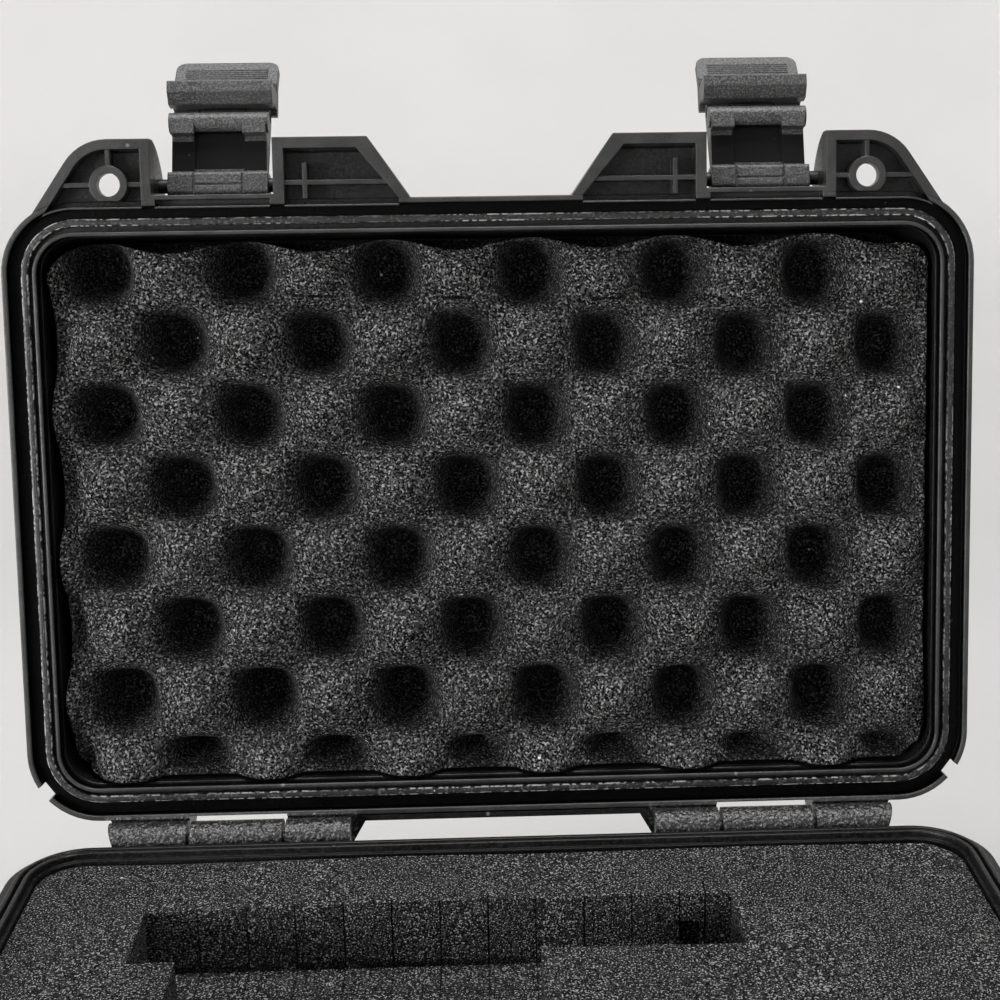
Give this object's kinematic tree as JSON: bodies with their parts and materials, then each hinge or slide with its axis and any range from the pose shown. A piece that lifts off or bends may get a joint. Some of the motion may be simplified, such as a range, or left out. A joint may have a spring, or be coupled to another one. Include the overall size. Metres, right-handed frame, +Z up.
{
  "type": "microphone case",
  "caption": "Small black moulded hard case with a gasketed hinged lid, two draw latches, folding handle, egg-crate lid foam and cut base foam.",
  "frame": {"origin": "middle of the underside of the base", "axes": "+Z up, +Y towards the hinges, +X to the right of someone facing the latches"},
  "size_m": [0.27, 0.2725, 0.2751],
  "materials": {
    "shell": "fine moulded texture",
    "latch": "fine moulded texture",
    "handle": "fine moulded texture",
    "grip": "matt",
    "base_foam": "open-cell foam",
    "pad_foam": "open-cell foam",
    "lid_foam": "open-cell foam",
    "gasket": "satin",
    "valve": "satin",
    "knob": "satin",
    "seal": "satin",
    "membrane": "vent film",
    "pin": "drawn"
  },
  "bodies": {
    "base": {"base_shell": "shell", "base_foam_pad": "pad_foam", "pluck_foam": "base_foam", "valve_body": "valve", "valve_seal": "seal", "valve_nut": "valve", "valve_membrane": "membrane", "hinge_pin_left": "pin", "hinge_pin_right": "pin", "handle_pin_left": "pin", "handle_pin_right": "pin"},
    "knob": {"valve_knob": "knob"},
    "handle": {"handle_frame": "handle", "handle_grip": "grip"},
    "lid": {"lid_shell": "shell", "lid_gasket": "gasket", "lid_foam": "lid_foam", "latch_pin_left": "pin", "latch_pin_right": "pin"},
    "latch_link_left": {"latch_link_left": "latch", "lever_pin_left": "pin"},
    "latch_lever_left": {"latch_lever_left": "latch"},
    "latch_link_right": {"latch_link_right": "latch", "lever_pin_right": "pin"},
    "latch_lever_right": {"latch_lever_right": "latch"}
  },
  "joints": [
    {"name": "lid_hinge", "type": "hinge", "parent": "base", "child": "lid", "pos_m": [0, 0.0936, 0.0605], "axis": [1, 0, 0], "range_deg": [0, 98]},
    {"name": "handle_fold", "type": "hinge", "parent": "base", "child": "handle", "pos_m": [0, -0.097, 0.05], "axis": [-1, 0, 0], "range_deg": [0, 90]},
    {"name": "valve_turn", "type": "hinge", "parent": "base", "child": "knob", "pos_m": [0, -0.0906, 0.036], "axis": [0, -1, 0], "range_deg": [0, 270]},
    {"name": "latch_swing_left", "type": "hinge", "parent": "lid", "child": "latch_link_left", "pos_m": [-0.0765, 0.13508, 0.2421], "axis": [1, 0, 0], "range_deg": [0, 105]},
    {"name": "latch_release_left", "type": "hinge", "parent": "latch_link_left", "child": "latch_lever_left", "pos_m": [-0.0765, 0.15077, 0.25988], "axis": [-1, 0, 0], "range_deg": [0, 75]},
    {"name": "latch_swing_right", "type": "hinge", "parent": "lid", "child": "latch_link_right", "pos_m": [0.0765, 0.13508, 0.2421], "axis": [1, 0, 0], "range_deg": [0, 105]},
    {"name": "latch_release_right", "type": "hinge", "parent": "latch_link_right", "child": "latch_lever_right", "pos_m": [0.0765, 0.15077, 0.25988], "axis": [-1, 0, 0], "range_deg": [0, 75]}
  ]
}
